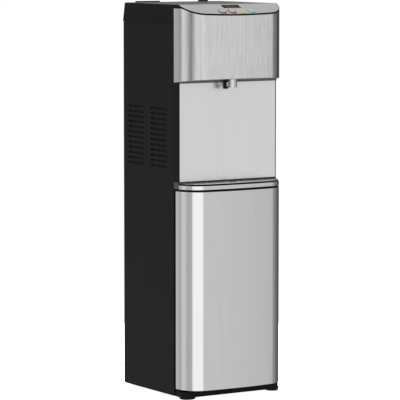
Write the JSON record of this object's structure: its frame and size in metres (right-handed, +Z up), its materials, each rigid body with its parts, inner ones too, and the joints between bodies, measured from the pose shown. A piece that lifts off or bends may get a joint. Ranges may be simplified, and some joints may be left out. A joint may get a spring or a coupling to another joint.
{
  "type": "water cooler",
  "caption": "Free-standing bottleless water cooler with a bow-fronted steel fascia, a spout alcove with drip tray, a filter door, louvred side panels and a rear condenser.",
  "frame": {"origin": "on the floor under the middle of the cooler", "axes": "+X to the right seen from the front, -Y out of the front with the door, +Z up"},
  "size_m": [0.308, 0.34, 1.0493],
  "materials": {
    "black_paint": "satin black paint",
    "black_plastic": "fine matt black",
    "brushed_stainless": "brushed",
    "dark_grey_plastic": "matt dark grey",
    "silver_plastic": "silver grey lacquer",
    "crimson_plastic": "glossy",
    "lime_plastic": "glossy",
    "teal_plastic": "glossy",
    "board_green": "solder mask",
    "white_plastic": "smooth",
    "zinc_steel": "zinc plated",
    "white_foam": "moulded foam",
    "wool_jacket": "foil faced wool",
    "copper": "bare copper",
    "rubber": "matt",
    "condenser_black": "matt black",
    "blue_plastic": "moulded"
  },
  "bodies": {
    "cabinet": {"plinth": "black_plastic", "feet": "black_plastic", "left_side_panel": "black_paint", "right_side_panel": "black_paint", "rear_panel": "black_paint", "top_cap": "black_plastic", "vent_cap": "dark_grey_plastic", "upper_frame": "black_plastic", "alcove_plate": "brushed_stainless", "lower_frame": "black_plastic", "fascia_skin": "brushed_stainless", "fascia_carrier": "dark_grey_plastic", "control_panel": "silver_plastic", "display_lens": "black_plastic", "red_rings": "crimson_plastic", "green_ring": "lime_plastic", "teal_ring": "teal_plastic", "button_carrier": "black_plastic", "control_board": "board_green", "spout": "brushed_stainless", "spout_core": "black_plastic", "spout_bracket": "black_plastic", "spout_block": "white_plastic", "tray_housing": "dark_grey_plastic", "strike_plate": "zinc_steel", "hinge_pins": "zinc_steel", "filter_bay": "dark_grey_plastic", "filter_head": "white_plastic", "shelves": "zinc_steel", "cold_tank": "brushed_stainless", "tank_foam": "white_foam", "evaporator_coil": "copper", "hot_tank": "brushed_stainless", "hot_jacket": "wool_jacket", "compressor": "black_paint", "compressor_mounts": "rubber", "condenser": "condenser_black", "cooling_lines": "copper", "water_lines": "white_plastic", "water_valves": "blue_plastic", "power_box": "zinc_steel", "rear_fittings": "dark_grey_plastic", "switch_frames": "black_plastic"},
    "door": {"door_skin": "brushed_stainless", "door_liner": "black_plastic", "door_caps": "black_plastic", "door_magnet": "dark_grey_plastic"},
    "tray": {"drip_tray": "black_plastic", "tray_band": "brushed_stainless"},
    "grille": {"drip_grille": "brushed_stainless"},
    "button_1": {"button_1": "silver_plastic"},
    "button_2": {"button_2": "silver_plastic"},
    "button_3": {"button_3": "silver_plastic"},
    "button_4": {"button_4": "silver_plastic"},
    "filter_1": {"filter_1": "white_plastic"},
    "filter_2": {"filter_2": "white_plastic"},
    "drain_washer": {"drain_seal": "rubber"},
    "drain_cap": {"drain_cap": "black_plastic"},
    "heat_rocker": {"heat_rocker": "black_plastic"},
    "cool_rocker": {"cool_rocker": "black_plastic"}
  },
  "joints": [
    {"name": "door_hinge", "type": "hinge", "parent": "cabinet", "child": "door", "pos_m": [0.143, -0.111, 0.288], "axis": [0, 0, 1], "range_deg": [0, 110]},
    {"name": "tray_slide", "type": "slide", "parent": "cabinet", "child": "tray", "axis": [0, -1, 0], "range_m": [0, 0.08]},
    {"name": "grille_lift", "type": "slide", "parent": "tray", "child": "grille", "axis": [0, 0, 1], "range_m": [0, 0.04]},
    {"name": "button_1_press", "type": "slide", "parent": "cabinet", "child": "button_1", "axis": [0, 0.3827, -0.9239], "range_m": [0, 0.0015], "stiffness_N_per_m": 250, "springref_m": -0.001},
    {"name": "button_2_press", "type": "slide", "parent": "cabinet", "child": "button_2", "axis": [0, 0.3827, -0.9239], "range_m": [0, 0.0015], "stiffness_N_per_m": 250, "springref_m": -0.001},
    {"name": "button_3_press", "type": "slide", "parent": "cabinet", "child": "button_3", "axis": [0, 0.3827, -0.9239], "range_m": [0, 0.0015], "stiffness_N_per_m": 250, "springref_m": -0.001},
    {"name": "button_4_press", "type": "slide", "parent": "cabinet", "child": "button_4", "axis": [0, 0.3827, -0.9239], "range_m": [0, 0.0015], "stiffness_N_per_m": 250, "springref_m": -0.001},
    {"name": "filter_1_twist", "type": "hinge", "parent": "cabinet", "child": "filter_1", "pos_m": [-0.056, -0.048, 0.3], "axis": [0, 0, 1], "range_deg": [0, 90]},
    {"name": "filter_2_twist", "type": "hinge", "parent": "cabinet", "child": "filter_2", "pos_m": [0.056, -0.048, 0.3], "axis": [0, 0, 1], "range_deg": [0, 90]},
    {"name": "drain_washer_slide", "type": "slide", "parent": "cabinet", "child": "drain_washer", "axis": [0, 1, 0], "range_m": [0, 0.009]},
    {"name": "drain_cap_turn", "type": "hinge", "parent": "drain_washer", "child": "drain_cap", "pos_m": [-0.096, 0.1603, 0.27], "axis": [0, 1, 0], "range_deg": [0, 1080]},
    {"name": "heat_rocker_tilt", "type": "hinge", "parent": "cabinet", "child": "heat_rocker", "pos_m": [0.065, 0.1483, 0.953], "axis": [-1, 0, 0], "range_deg": [0, 16]},
    {"name": "cool_rocker_tilt", "type": "hinge", "parent": "cabinet", "child": "cool_rocker", "pos_m": [0.099, 0.1483, 0.953], "axis": [-1, 0, 0], "range_deg": [0, 16]}
  ],
  "couplings": [
    {"joint": "drain_cap_turn", "follows": "drain_washer_slide", "rad_per_m": 2094.4}
  ]
}
